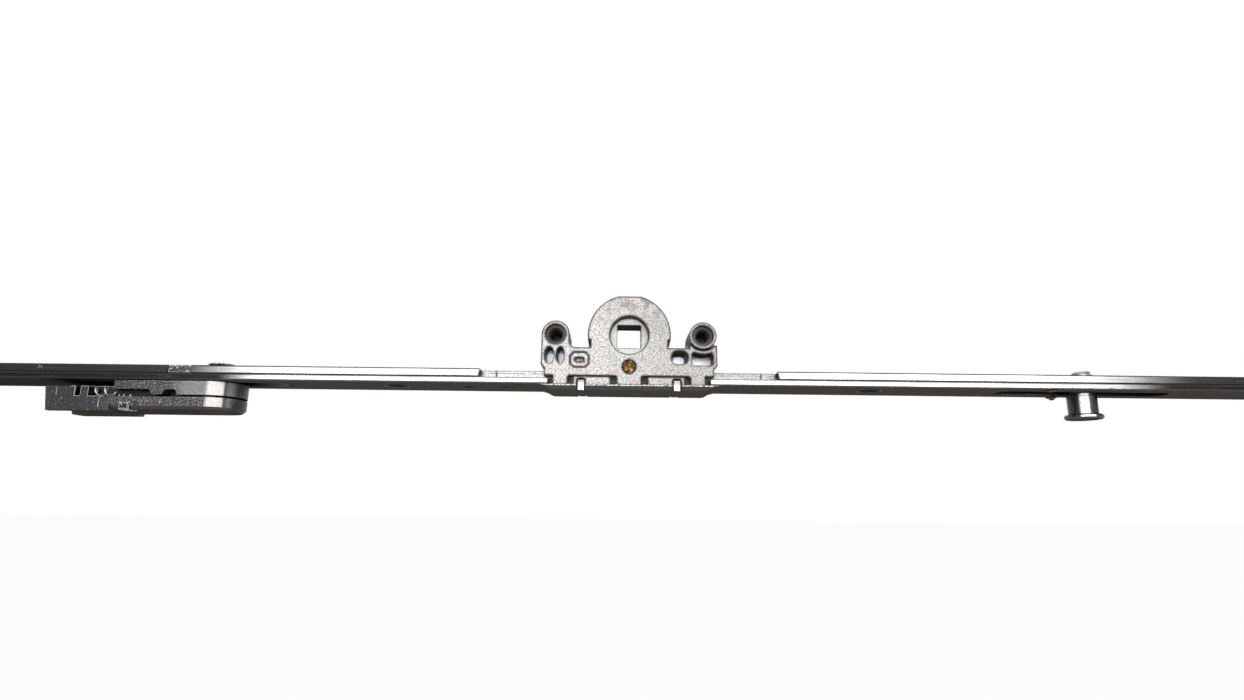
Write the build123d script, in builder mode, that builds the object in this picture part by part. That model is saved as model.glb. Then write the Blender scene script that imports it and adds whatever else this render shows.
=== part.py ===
"""Window espagnolette gearbox: a rail of faceplate and drive strips, a die-cast gearbox whose
toothed follower drives the rack between the strips, a mushroom cam at the right and a
two-lever sash lifter at the left.

Millimetres. X runs along the rail, Y away from the viewer, Z up. The origin is the middle
of the square spindle socket, on its axis.
"""

import os
from math import acos, cos, pi, radians, sin, sqrt, tan

from build123d import *

os.makedirs("parts", exist_ok=True)

# Rail. Its ends lie beyond the lever pivot and the cam.
RAIL_LEFT_MARGIN = 73.0
RAIL_RIGHT_MARGIN = 57.0
BACKSET = 15.0
FACEPLATE_WIDTH = 16.0
FACEPLATE_THICKNESS = 1.8
FACEPLATE_EDGE = 0.3
STRIP_WIDTH = 14.0
STRIP_THICKNESS = 2.4
STRIP_EDGE = 0.25
STRIP_GAP = 0.2
STRIP_END_X = 42.9
STRIP_END_SLANT = 0.45
TRAVEL = 18.0

# Holes of the rail
SCREW_LEFT_X = -68.1
SCREW_RIGHT_X = 71.3
SCREW_HOLE = 4.3
SCREW_HEAD = 7.0
SCREW_SLOT_WIDTH = 5.6
TOOL_HOLE_X = -47.0
TOOL_HOLE = 2.6
SIGHT_SLOT_X = -35.4
SIGHT_SLOT_LENGTH = 4.2
SIGHT_SLOT_WIDTH = 2.0

# Gearbox castings
CASE_DEPTH = 12.0
CASE_FOOT_HALF_LENGTH = 24.6
CASE_TAPER_TOP_Z = -9.0
CASE_TAPER_FOOT_Z = -10.2
CASE_EDGE = 0.25
SHOULDER_Z = -3.8
PLATE_FOOT_Z = -12.3
DOME_RADIUS = 12.15
DOME_TOP_Z = 11.7
DOME_NOTCH_X = 12.1
DOME_NOTCH_DEPTH = 0.75
DOME_NOTCH_HEIGHT = 2.2
HANDLE_SPACING = 43.0
BOSS_RADIUS = 4.1
PILLAR_FILLET = 1.8
TUBE_RADIUS = 4.0
HANDLE_BORE = 4.3
BOSS_MOUTH = 6.1
BOSS_MOUTH_DEPTH = 1.3
BORE_WEB = 0.5
CRADLE_RADIUS = 4.45
CRADLE_TOP_Z = -2.9
LEG_INNER_X = 17.65
LEG_OUTER_X = 22.1
CENTRE_LEG_HALF = 3.65
LEG_CORNER = 0.6

# Pockets and joining lugs of the castings
LUG_X = 14.4
LUG_Z = -7.5
LUG_LENGTH = 5.3
LUG_HEIGHT = 4.25
LUG_CORNER = 1.1
LUG_FIT = 0.15
LUG_RECESS = 0.2
LUG_SLOT_LENGTH = 2.8
LUG_SLOT_HEIGHT = 1.4
LUG_SLOT_DEPTH = 1.0
CORE_Z = -6.2
CORE_HEIGHT = 5.0
CORE_OUTER_X = -23.2
CORE_OUTER_WIDTH = 2.8
CORE_INNER_X = -20.0
CORE_INNER_WIDTH = 2.3
CORE_DEPTH = 5.0
OBLONG_X = 14.7
OBLONG_Z = -6.6
OBLONG_LENGTH = 5.0
OBLONG_HEIGHT = 4.0
OBLONG_CORNER = 1.8
OBLONG_DEPTH = 5.4
OBLONG_TAPER = 6.0
WINDOW_LEFT_X = 18.2
WINDOW_RIGHT_X = 24.4
WINDOW_FOOT_Z = -8.9
WINDOW_TOP_RADIUS = 5.5
WINDOW_CORNER = 0.7

# Fixing pin
FIXING_PIN = 4.1
FIXING_PIN_Z = -9.45
FIXING_PIN_RECESS = 0.7
PRESS_FIT = 0.02

# Follower and rack
SQUARE = 7.0
SQUARE_CORNER = 0.4
GEAR_TEETH = 24
TEETH_CUT = 12
TOOTH_PITCH = 3.0
PRESSURE_ANGLE = 20.0
BACKLASH = 0.12
TOOTH_TIP = 0.70
TOOTH_ROOT = 0.96
GEAR_WIDTH = 4.2
HUB_RADIUS = 6.5
HUB_HALF_LENGTH = 3.4
HUB_CHAMFER = 0.3
FACE_HOLE = 11.5
RUNNING_FIT = 0.05
SIDE_CLEARANCE = 0.1
RACK_HALF_WIDTH = 3.9
RACK_TOP_CHAMFER = 0.4
RACK_FLOOR = 0.6
RACK_TROUGH_HALF = 2.3
RACK_TIP = 0.72
RACK_GROOVE_X = 38.2
RACK_GROOVE = 0.4
TONGUE_NECK_HALF = 2.6
TONGUE_HEAD_HALF = 4.6
TONGUE_NECK_LENGTH = 2.7
TONGUE_HEAD_LENGTH = 3.0
TONGUE_FIT = 0.05

# Tray and faceplate waist
TRAY_THICKNESS = 1.5
TRAY_HALF_LENGTH = 21.8
TRAY_TOE_X = 25.6
TRAY_TOE_THICKNESS = 0.15
TRAY_CHAMFER = 1.0
TAB_INNER_X = 5.4
TAB_OUTER_X = 16.0
TAB_TOP_Z = -12.5
TAB_INNER_Y = 4.4
WAIST_HALF_LENGTH = 23.3
WAIST_HALF_WIDTH = 4.1
CLAW_X = 13.8
CLAW_WIDTH = 1.9
CLAW_REACH = 6.2
CLAW_BEND = 0.9
CLAW_SLOT_WIDTH = 2.6
CLAW_SLOT_TOP_Z = -12.9
CLAW_SLOT_CORNER = 0.8

# Mushroom cam
CAM_X = 134.4
CAM_SLOT_HALF = 25.5
CAM_SHANK = 6.0
SLOT_FIT = 0.2
CAM_PIN = 4.8
CAM_RADIUS = 3.9
CAM_WASHER_THICKNESS = 0.7
CAM_WASHER_GAP = 0.3
CAM_ROLLER_GAP = 0.2
CAM_ROLLER_LENGTH = 5.1
CAM_FLANGE_RADIUS = 5.05
CAM_FLANGE_THICKNESS = 1.3
CAM_FLANGE_EDGE = 0.35
CAM_FOOT_RADIUS = 3.2
CAM_FOOT_HEIGHT = 0.6
CAM_RECESS_DEPTH = 0.8
RIVET_HEAD_RADIUS = 3.5
RIVET_CROWN_STEP = 0.8
RIVET_CROWN_SHIFT = 0.4
CAM_HEAD_HEIGHT = 1.9
LEVER_HEAD_HEIGHT = 1.2

# Lever unit. A reach is a distance to the left of the pivot.
PIVOT_X = -120.0
LEVER_SHANK = 6.0
LEVER_SIDE_STEP = 0.4
LEVER_TOP_GAP = 0.3
UPPER_LEVER_THICKNESS = 4.0
LEVER_SPACE = 0.6
LEVER_SPACER_RADIUS = 5.0
LOWER_LEVER_THICKNESS = 3.5
LOWER_LEVER_CHAMFER = 0.8
LEVER_NOTCH_HEIGHT = 1.5
LEVER_NOTCH_DEPTH = 3.0
LEVER_NOTCH_SLANT = 0.9
FIRST_NOTCH_REACH = 14.7
SECOND_NOTCH_REACH = 11.9
SECOND_NOTCH_WIDTH = 4.5
HEAD_REACH = 44.0
HEAD_LENGTH = 7.9
HEAD_TOP_DROP = 1.8
HEAD_FOOT_DROP = 0.6
HEAD_FOOT_GAP = 2.6
HEAD_END_SLANT = 1.1
HEAD_CORNER = 0.8
HEAD_WALL = 2.0
HEAD_CHANNEL_WIDTH = 8.4
HEAD_CHANNEL_LENGTH = 5.9
HEAD_ROOF = 1.6
SPRING_LUG_GAP = 1.5
SPRING_LUG_LENGTH = 2.1
SPRING_ROOM = 5.9
SPRING_WALL_DROP = 1.3
SPRING_INSET = 0.4
SPRING_RADIUS = 1.2
SPRING_WIRE = 0.55
SPRING_TURNS = 2
SPRING_CLEARANCE = 0.3
PEG_REACH = 23.3
PEG_WIDTH = 2.9
PEG_PROUD = 0.3
PEG_DEPTH = 3.5
PEG_HEIGHT = 2.1
LEVER_FOOT_RADIUS = 4.2
LEVER_FOOT_HEIGHT = 0.8
LEVER_FOOT_GAP = 0.1

# Staked block in the left drive strip
STAKE_REACH = 11.5
STAKE_LENGTH = 6.4
STAKE_DEPTH = 3.0
STAKE_FIT = 0.03

# Levels and places worked out from the sizes above
rail_left = PIVOT_X - RAIL_LEFT_MARGIN
rail_right = CAM_X + RAIL_RIGHT_MARGIN
faceplate_outer_z = -BACKSET
faceplate_inner_z = faceplate_outer_z + FACEPLATE_THICKNESS
strip_foot_z = faceplate_inner_z + STRIP_GAP
strip_top_z = strip_foot_z + STRIP_THICKNESS
half_depth = CASE_DEPTH / 2
boss_x = HANDLE_SPACING / 2
case_half_length = boss_x + BOSS_RADIUS
pitch_radius = GEAR_TEETH * TOOTH_PITCH / (2 * pi)
tip_radius = pitch_radius + TOOTH_TIP
root_radius = pitch_radius - TOOTH_ROOT
rack_pitch_z = -pitch_radius
rack_floor_z = strip_foot_z + RACK_FLOOR
gear_half_width = GEAR_WIDTH / 2
cavity_half_width = gear_half_width + SIDE_CLEARANCE
cavity_radius = tip_radius + 3 * RUNNING_FIT
channel_half_width = RACK_HALF_WIDTH + 0.25
channel_top_z = strip_top_z + STRIP_GAP
hub_pocket_half = HUB_HALF_LENGTH + RUNNING_FIT
tray_foot_z = faceplate_outer_z - TRAY_THICKNESS
cam_washer_top_z = faceplate_outer_z - CAM_WASHER_GAP
cam_washer_foot_z = cam_washer_top_z - CAM_WASHER_THICKNESS
cam_roller_top_z = cam_washer_foot_z - CAM_ROLLER_GAP
cam_flange_top_z = cam_roller_top_z - CAM_ROLLER_LENGTH
cam_foot_z = cam_flange_top_z - CAM_FLANGE_THICKNESS
upper_lever_top_z = faceplate_outer_z - LEVER_TOP_GAP
upper_lever_foot_z = upper_lever_top_z - UPPER_LEVER_THICKNESS
lower_lever_top_z = upper_lever_foot_z - LEVER_SPACE
lower_lever_foot_z = lower_lever_top_z - LOWER_LEVER_THICKNESS
lever_half_width = FACEPLATE_WIDTH / 2 - LEVER_SIDE_STEP
first_notch_x = PIVOT_X - FIRST_NOTCH_REACH
second_notch_x = PIVOT_X - SECOND_NOTCH_REACH
head_left_x = PIVOT_X - HEAD_REACH
head_right_x = head_left_x + HEAD_LENGTH
upper_lever_reach = HEAD_REACH - HEAD_LENGTH - SPRING_LUG_GAP - SPRING_LUG_LENGTH - SPRING_ROOM
head_top_z = upper_lever_top_z - HEAD_TOP_DROP
spring_lug_x = head_right_x + SPRING_LUG_GAP
spring_y = SPRING_INSET + SPRING_RADIUS + SPRING_WIRE / 2 - lever_half_width
spring_reach = upper_lever_reach + SPRING_CLEARANCE
peg_left_x = PIVOT_X - PEG_REACH
foot_right_x = peg_left_x - HEAD_FOOT_GAP
peg_right_x = peg_left_x + PEG_WIDTH
stake_left_x = PIVOT_X - STAKE_REACH
stake_right_x = stake_left_x + STAKE_LENGTH
through = 60.0


def finish(built, label):
    """Name a finished piece and write it to its file."""
    built.part.label = label
    export_step(built.part, f"parts/{label}.step")


def upright(y):
    """The plane that faces the viewer at depth y: its x is X and its y is Z."""
    return Plane.XZ.offset(-y)


def span(left, right, foot, top):
    """The corners of a rectangle in the sketch that is open, given by its limits."""
    with Locations(((left + right) / 2, (foot + top) / 2)):
        Rectangle(right - left, top - foot)


def rod(x, radius, foot, top, mode=Mode.ADD):
    """An upright cylinder on the rail's centre line between two levels."""
    with Locations((x, 0, foot)):
        Cylinder(radius, top - foot, align=(Align.CENTER, Align.CENTER, Align.MIN), mode=mode)


def block(left, right, near, far, foot, top, mode=Mode.ADD):
    """A box given by its limits along X, Y and Z."""
    with Locations(((left + right) / 2, (near + far) / 2, (foot + top) / 2)):
        Box(right - left, far - near, top - foot, mode=mode)


# Case half. Both halves are the same casting, one turned half round about Z.
# The full-depth screw tube is at the left, its cradle for the other half's tube at the right.
with BuildPart() as near_case_half:
    with BuildSketch(upright(-half_depth)) as outline:
        Circle(DOME_RADIUS)
        with Locations((0, DOME_TOP_Z)):
            Rectangle(through, DOME_RADIUS, align=(Align.CENTER, Align.MIN), mode=Mode.SUBTRACT)
        Polygon(
            (-case_half_length, SHOULDER_Z),
            (-case_half_length, CASE_TAPER_TOP_Z),
            (-CASE_FOOT_HALF_LENGTH, CASE_TAPER_FOOT_Z),
            (-CASE_FOOT_HALF_LENGTH, PLATE_FOOT_Z),
            (CASE_FOOT_HALF_LENGTH, PLATE_FOOT_Z),
            (CASE_FOOT_HALF_LENGTH, CASE_TAPER_FOOT_Z),
            (case_half_length, CASE_TAPER_TOP_Z),
            (case_half_length, SHOULDER_Z),
            align=None,
        )
        for side in (-1, 1):
            with Locations((side * DOME_NOTCH_X, SHOULDER_Z)):
                Rectangle(
                    2 * DOME_NOTCH_DEPTH, DOME_NOTCH_HEIGHT,
                    align=(Align.CENTER, Align.MIN), mode=Mode.SUBTRACT,
                )
        with Locations((-boss_x, 0)):
            Circle(BOSS_RADIUS)
        span(-case_half_length, BOSS_RADIUS - boss_x, SHOULDER_Z, 0)
        pillar_foot = outline.vertices().sort_by_distance((BOSS_RADIUS - boss_x, SHOULDER_Z, 0))
        fillet(pillar_foot[0], PILLAR_FILLET)
        span(boss_x - BOSS_RADIUS, case_half_length, SHOULDER_Z, CRADLE_TOP_Z)
        with Locations((boss_x, 0)):
            Circle(CRADLE_RADIUS, mode=Mode.SUBTRACT)
        span(-LEG_OUTER_X, -LEG_INNER_X, faceplate_outer_z, PLATE_FOOT_Z)
        span(-CENTRE_LEG_HALF, CENTRE_LEG_HALF, faceplate_outer_z, PLATE_FOOT_Z)
        span(LEG_INNER_X, LEG_OUTER_X, faceplate_outer_z, PLATE_FOOT_Z)
        for corner_x in (-LEG_INNER_X, -CENTRE_LEG_HALF, CENTRE_LEG_HALF, LEG_INNER_X):
            corner = outline.vertices().sort_by_distance((corner_x, PLATE_FOOT_Z, 0))[0]
            fillet(corner, LEG_CORNER)
    extrude(amount=-half_depth)
    chamfer(near_case_half.faces().sort_by(Axis.Y)[0].outer_wire().edges(), CASE_EDGE)
    # Screw tube, and the lug that passes through the other half
    with BuildSketch(upright(0)):
        with Locations((-boss_x, 0)):
            Circle(TUBE_RADIUS)
    extrude(amount=-half_depth)
    with BuildSketch(upright(0)):
        with Locations((LUG_X, LUG_Z)):
            lug_outline = Rectangle(LUG_LENGTH, LUG_HEIGHT)
        chamfer(lug_outline.vertices(), LUG_CORNER)
    extrude(amount=LUG_RECESS - half_depth)
    # Room for the gear, its hub and the rack
    with BuildSketch(upright(-cavity_half_width)):
        Circle(cavity_radius)
    extrude(amount=-cavity_half_width, mode=Mode.SUBTRACT)
    with BuildSketch(upright(-hub_pocket_half)):
        Circle(HUB_RADIUS + RUNNING_FIT)
    extrude(amount=-hub_pocket_half, mode=Mode.SUBTRACT)
    with BuildSketch(upright(-half_depth)):
        Circle(FACE_HOLE / 2)
    extrude(amount=-half_depth, mode=Mode.SUBTRACT)
    block(-through, through, -channel_half_width, 0, -through, channel_top_z, Mode.SUBTRACT)
    # Handle screw bore with a wide mouth at both ends
    with BuildSketch(upright(-half_depth)):
        with Locations((-boss_x, 0)):
            Circle(HANDLE_BORE / 2)
    extrude(amount=-CASE_DEPTH, mode=Mode.SUBTRACT)
    for mouth_y in (-half_depth, half_depth - BOSS_MOUTH_DEPTH):
        with BuildSketch(upright(mouth_y)):
            with Locations((-boss_x, 0)):
                Circle(BOSS_MOUTH / 2)
        extrude(amount=-BOSS_MOUTH_DEPTH, mode=Mode.SUBTRACT)
    # Cored pockets, lug hole, window and fixing pin hole
    with BuildSketch(upright(-half_depth)):
        with Locations((CORE_OUTER_X, CORE_Z)):
            Ellipse(CORE_OUTER_WIDTH / 2, CORE_HEIGHT / 2)
        with Locations((CORE_INNER_X, CORE_Z)):
            Ellipse(CORE_INNER_WIDTH / 2, CORE_HEIGHT / 2)
    extrude(amount=-CORE_DEPTH, mode=Mode.SUBTRACT)
    with BuildSketch(upright(-half_depth)):
        with Locations((OBLONG_X, OBLONG_Z)):
            RectangleRounded(OBLONG_LENGTH, OBLONG_HEIGHT, OBLONG_CORNER)
    extrude(amount=-OBLONG_DEPTH, taper=OBLONG_TAPER, mode=Mode.SUBTRACT)
    with BuildSketch(upright(-half_depth)):
        with Locations((-LUG_X, LUG_Z)):
            lug_hole = Rectangle(LUG_LENGTH + 2 * LUG_FIT, LUG_HEIGHT + 2 * LUG_FIT)
        chamfer(lug_hole.vertices(), LUG_CORNER)
    extrude(amount=-half_depth, mode=Mode.SUBTRACT)
    with BuildSketch(upright(-half_depth)) as window:
        span(WINDOW_LEFT_X, WINDOW_RIGHT_X, WINDOW_FOOT_Z, SHOULDER_Z)
        with Locations((boss_x, 0)):
            Circle(WINDOW_TOP_RADIUS, mode=Mode.SUBTRACT)
        fillet(window.vertices(), WINDOW_CORNER)
    extrude(amount=-half_depth, mode=Mode.SUBTRACT)
    with BuildSketch(upright(-half_depth)):
        with Locations((0, FIXING_PIN_Z)):
            Circle(FIXING_PIN / 2 + PRESS_FIT)
    extrude(amount=-half_depth, mode=Mode.SUBTRACT)
    # Peening slot in the end of the lug
    with BuildSketch(upright(half_depth - LUG_RECESS - LUG_SLOT_DEPTH)):
        with Locations((LUG_X, LUG_Z)):
            RectangleRounded(LUG_SLOT_LENGTH, LUG_SLOT_HEIGHT, LUG_SLOT_HEIGHT / 3)
    extrude(amount=-LUG_SLOT_DEPTH, mode=Mode.SUBTRACT)


def bore_web(x):
    """The thin web that closes a screw bore at its back end."""
    with BuildSketch(upright(half_depth - BOSS_MOUTH_DEPTH - BORE_WEB)) as web:
        with Locations((x, 0)):
            Circle(BOSS_MOUTH / 2)
    extrude(web.sketch, amount=-BORE_WEB)


with BuildPart() as far_case_half:
    add(near_case_half.part.rotate(Axis.Z, 180))
    bore_web(boss_x)
finish(far_case_half, "far_case_half")

with near_case_half:
    bore_web(-boss_x)
finish(near_case_half, "near_case_half")

# Fixing pin, sheared off: its stub stays in the near half
with BuildPart() as fixing_pin_stub:
    with BuildSketch(upright(FIXING_PIN_RECESS - half_depth)):
        with Locations((0, FIXING_PIN_Z)):
            Circle(FIXING_PIN / 2)
    extrude(amount=FIXING_PIN_RECESS + channel_half_width - half_depth)
finish(fixing_pin_stub, "fixing_pin_stub")

# Tray under the gearbox: a floor that runs out in a toe at each end, with four upright tabs
with BuildPart() as case_tray:
    with BuildSketch(Plane.XZ) as floor_side:
        with BuildLine():
            inner_end = (TRAY_HALF_LENGTH, tray_foot_z)
            toe_foot = (TRAY_TOE_X, faceplate_outer_z - TRAY_TOE_THICKNESS)
            toe_middle_x = (TRAY_HALF_LENGTH + TRAY_TOE_X) / 2
            toe_middle = (toe_middle_x, (tray_foot_z + toe_foot[1]) / 2)
            toe_curve = TangentArc(inner_end, toe_middle, tangent=(1, 0))
            TangentArc(toe_middle, toe_foot, tangent=toe_curve % 1)
            Line(toe_foot, (TRAY_TOE_X, faceplate_outer_z))
            Line((TRAY_TOE_X, faceplate_outer_z), (0, faceplate_outer_z))
            Line((0, faceplate_outer_z), (0, tray_foot_z))
            Line((0, tray_foot_z), inner_end)
        make_face()
        mirror(about=Plane.YZ)
    extrude(amount=FACEPLATE_WIDTH / 2, both=True)
    with BuildSketch(Plane.YZ):
        half_floor = FACEPLATE_WIDTH / 2
        bevel_z = tray_foot_z + TRAY_CHAMFER
        Polygon(
            (-half_floor, faceplate_outer_z),
            (-half_floor, bevel_z),
            (TRAY_CHAMFER - half_floor, tray_foot_z),
            (half_floor - TRAY_CHAMFER, tray_foot_z),
            (half_floor, bevel_z),
            (half_floor, faceplate_outer_z),
            align=None,
        )
    extrude(amount=through, both=True, mode=Mode.INTERSECT)
    for side in (-1, 1):
        for end in (-1, 1):
            tab_x = end * (TAB_INNER_X + TAB_OUTER_X) / 2
            tab_y = side * (TAB_INNER_Y + half_depth) / 2
            with Locations((tab_x, tab_y, faceplate_outer_z)):
                Box(
                    TAB_OUTER_X - TAB_INNER_X,
                    half_depth - TAB_INNER_Y,
                    TAB_TOP_Z - faceplate_outer_z,
                    align=(Align.CENTER, Align.CENTER, Align.MIN),
                )
            with BuildSketch(upright(side * WAIST_HALF_WIDTH)):
                with Locations((end * CLAW_X, CLAW_SLOT_TOP_Z)):
                    RectangleRounded(
                        CLAW_SLOT_WIDTH, 2 * (CLAW_SLOT_TOP_Z - tray_foot_z), CLAW_SLOT_CORNER,
                        align=(Align.CENTER, Align.MAX),
                    )
            extrude(amount=-side * FACEPLATE_WIDTH, mode=Mode.SUBTRACT)
finish(case_tray, "case_tray")


def slot_through(x, length, width, foot, top):
    """A round-ended slot along the rail, cut between two levels."""
    with BuildSketch(Plane.XY.offset(foot)) as slot:
        with Locations((x, 0)):
            SlotOverall(length, width)
    extrude(slot.sketch, amount=top - foot, mode=Mode.SUBTRACT)


# Faceplate: full width outside the gearbox, a narrow waist with four claws inside it
pivot_slot_half = TRAVEL + LEVER_SHANK / 2 + SLOT_FIT
with BuildPart() as faceplate:
    block(
        rail_left, rail_right, -FACEPLATE_WIDTH / 2, FACEPLATE_WIDTH / 2,
        faceplate_outer_z, faceplate_inner_z,
    )
    chamfer(faceplate.edges().filter_by(Axis.X), FACEPLATE_EDGE)
    for side in (-1, 1):
        near = min(side * WAIST_HALF_WIDTH, side * FACEPLATE_WIDTH)
        block(
            -WAIST_HALF_LENGTH, WAIST_HALF_LENGTH, near, near + FACEPLATE_WIDTH - WAIST_HALF_WIDTH,
            faceplate_outer_z - 1, faceplate_inner_z + 1, Mode.SUBTRACT,
        )
    for end in (-1, 1):
        with BuildSketch(Plane.YZ.offset(end * CLAW_X - CLAW_WIDTH / 2)) as claw_side:
            span(-CLAW_REACH, CLAW_REACH, tray_foot_z, faceplate_inner_z)
            fillet(claw_side.vertices().group_by(Axis.Y)[-1], CLAW_BEND)
            inner_half = CLAW_REACH - FACEPLATE_THICKNESS
            with Locations((0, tray_foot_z)):
                Rectangle(
                    2 * inner_half, TRAY_THICKNESS,
                    align=(Align.CENTER, Align.MIN), mode=Mode.SUBTRACT,
                )
        extrude(amount=CLAW_WIDTH)
    for screw_x in (SCREW_LEFT_X, SCREW_RIGHT_X):
        with Locations(Location((screw_x, 0, faceplate_outer_z), (180, 0, 0))):
            CounterSinkHole(SCREW_HOLE / 2, SCREW_HEAD / 2, counter_sink_angle=90)
    rod(TOOL_HOLE_X, TOOL_HOLE / 2, faceplate_outer_z, faceplate_inner_z, Mode.SUBTRACT)
    slot_through(
        SIGHT_SLOT_X, SIGHT_SLOT_LENGTH, SIGHT_SLOT_WIDTH, faceplate_outer_z, faceplate_inner_z
    )
    slot_through(
        CAM_X, 2 * CAM_SLOT_HALF, CAM_SHANK + 2 * SLOT_FIT, faceplate_outer_z, faceplate_inner_z
    )
    slot_through(
        PIVOT_X, 2 * pivot_slot_half, LEVER_SHANK + 2 * SLOT_FIT,
        faceplate_outer_z, faceplate_inner_z,
    )
finish(faceplate, "faceplate")


def tooth_flank(radius):
    """Half the angle of a gear tooth at a radius, from the involute of its base circle."""
    base = pitch_radius * cos(radians(PRESSURE_ANGLE))
    half_at_pitch = (TOOTH_PITCH - BACKLASH) / 4 / pitch_radius
    pitch_roll = tan(radians(PRESSURE_ANGLE)) - radians(PRESSURE_ANGLE)
    if radius <= base:
        return half_at_pitch + pitch_roll
    pressure = acos(base / radius)
    return half_at_pitch + pitch_roll - (tan(pressure) - pressure)


def tooth_point(radius, middle, side):
    """A point of a tooth's flank; angles run from straight down, towards +X."""
    angle = middle + side * tooth_flank(radius)
    return (radius * sin(angle), -radius * cos(angle))


# Follower: toothed over half its rim, with a hub each side and the square socket through it
tooth_angle = 2 * pi / GEAR_TEETH
tooth_foot = root_radius - 0.5
base_step = (tip_radius - root_radius) / 2
with BuildPart() as follower:
    with BuildSketch(upright(-gear_half_width)):
        Circle(root_radius)
        for number in range(TEETH_CUT):
            middle = (number - (TEETH_CUT - 1) / 2) * tooth_angle
            radii = [root_radius + base_step * step for step in range(3)]
            left_flank = [tooth_point(radius, middle, -1) for radius in radii]
            right_flank = [tooth_point(radius, middle, 1) for radius in radii]
            tip_middle = (tip_radius * sin(middle), -tip_radius * cos(middle))
            with BuildLine():
                Polyline(*left_flank)
                ThreePointArc(left_flank[-1], tip_middle, right_flank[-1])
                Polyline(*reversed(right_flank))
                foot_middle = (tooth_foot * sin(middle), -tooth_foot * cos(middle))
                Line(right_flank[0], foot_middle)
                Line(foot_middle, left_flank[0])
            make_face()
    extrude(amount=-GEAR_WIDTH)
    with BuildSketch(upright(-HUB_HALF_LENGTH)):
        Circle(HUB_RADIUS)
    extrude(amount=-2 * HUB_HALF_LENGTH)
    hub_faces = follower.faces().filter_by(Axis.Y)
    for end_face in (hub_faces.sort_by(Axis.Y)[0], hub_faces.sort_by(Axis.Y)[-1]):
        chamfer(end_face.outer_wire().edges(), HUB_CHAMFER)
    with BuildSketch(upright(-HUB_HALF_LENGTH)):
        RectangleRounded(SQUARE, SQUARE, SQUARE_CORNER)
    extrude(amount=-2 * HUB_HALF_LENGTH, mode=Mode.SUBTRACT)
finish(follower, "follower")


def rack_half_space(z):
    """Half the width of a rack tooth space at a level."""
    half_at_pitch = (TOOTH_PITCH + BACKLASH) / 4
    return half_at_pitch + (z - rack_pitch_z) * tan(radians(PRESSURE_ANGLE))


# Drive rack: a bar with a trough of tooth spaces, and a T-shaped tongue at each end
rack_tip_z = rack_pitch_z + RACK_TIP
rack_end_x = STRIP_END_X - TONGUE_FIT
last_space_x = (TEETH_CUT - 1) / 2 * TOOTH_PITCH
tongue_neck_x = STRIP_END_X + TONGUE_NECK_LENGTH
tongue_head_x = tongue_neck_x + TONGUE_HEAD_LENGTH
with BuildPart() as drive_rack:
    block(
        -rack_end_x + STRIP_END_SLANT, rack_end_x - STRIP_END_SLANT,
        -RACK_HALF_WIDTH, RACK_HALF_WIDTH, strip_foot_z, strip_top_z,
    )
    chamfer(drive_rack.edges().filter_by(Axis.X).group_by(Axis.Z)[-1], RACK_TOP_CHAMFER)
    for end in (-1, 1):
        left, right = sorted((end * RACK_GROOVE_X, end * (RACK_GROOVE_X + RACK_GROOVE)))
        for side in (-1, 1):
            near, far = sorted((side * RACK_HALF_WIDTH, side * (RACK_HALF_WIDTH - RACK_GROOVE)))
            block(left, right, near, far, strip_foot_z, strip_top_z, Mode.SUBTRACT)
        left, right = sorted((end * (rack_end_x - 2 * STRIP_END_SLANT), end * tongue_neck_x))
        block(left, right, -TONGUE_NECK_HALF, TONGUE_NECK_HALF, strip_foot_z, strip_top_z)
        left, right = sorted((end * tongue_neck_x, end * tongue_head_x))
        block(left, right, -TONGUE_HEAD_HALF, TONGUE_HEAD_HALF, strip_foot_z, strip_top_z)
    block(
        -last_space_x, last_space_x, -RACK_TROUGH_HALF, RACK_TROUGH_HALF,
        rack_tip_z, strip_top_z, Mode.SUBTRACT,
    )
    with BuildSketch(upright(-RACK_TROUGH_HALF)):
        for number in range(TEETH_CUT):
            space_x = number * TOOTH_PITCH - last_space_x
            foot_half = rack_half_space(rack_floor_z)
            top_half = rack_half_space(strip_top_z)
            Polygon(
                (space_x - foot_half, rack_floor_z),
                (space_x + foot_half, rack_floor_z),
                (space_x + top_half, strip_top_z),
                (space_x - top_half, strip_top_z),
                align=None,
            )
    extrude(amount=-2 * RACK_TROUGH_HALF, mode=Mode.SUBTRACT)
finish(drive_rack, "drive_rack")


def strip_blank(end_side, outer_x):
    """A flat drive strip from the rail's end to the rack, with its T-shaped notch."""
    top_x = end_side * STRIP_END_X
    foot_x = end_side * (STRIP_END_X + STRIP_END_SLANT)
    with BuildSketch(upright(-STRIP_WIDTH / 2)) as strip_side:
        Polygon(
            (outer_x, strip_foot_z),
            (foot_x, strip_foot_z),
            (top_x, strip_top_z),
            (outer_x, strip_top_z),
            align=None,
        )
    extrude(strip_side.sketch, amount=-STRIP_WIDTH)
    chamfer(edges().filter_by(Axis.X), STRIP_EDGE)
    neck_half = TONGUE_NECK_HALF + TONGUE_FIT
    head_half = TONGUE_HEAD_HALF + TONGUE_FIT
    left, right = sorted((top_x, end_side * (tongue_neck_x + TONGUE_FIT)))
    block(left, right, -neck_half, neck_half, strip_foot_z, strip_top_z, Mode.SUBTRACT)
    head_inner_x = end_side * (tongue_neck_x - TONGUE_FIT)
    head_outer_x = end_side * (tongue_head_x + TONGUE_FIT)
    left, right = sorted((head_inner_x, head_outer_x))
    block(left, right, -head_half, head_half, strip_foot_z, strip_top_z, Mode.SUBTRACT)


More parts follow.
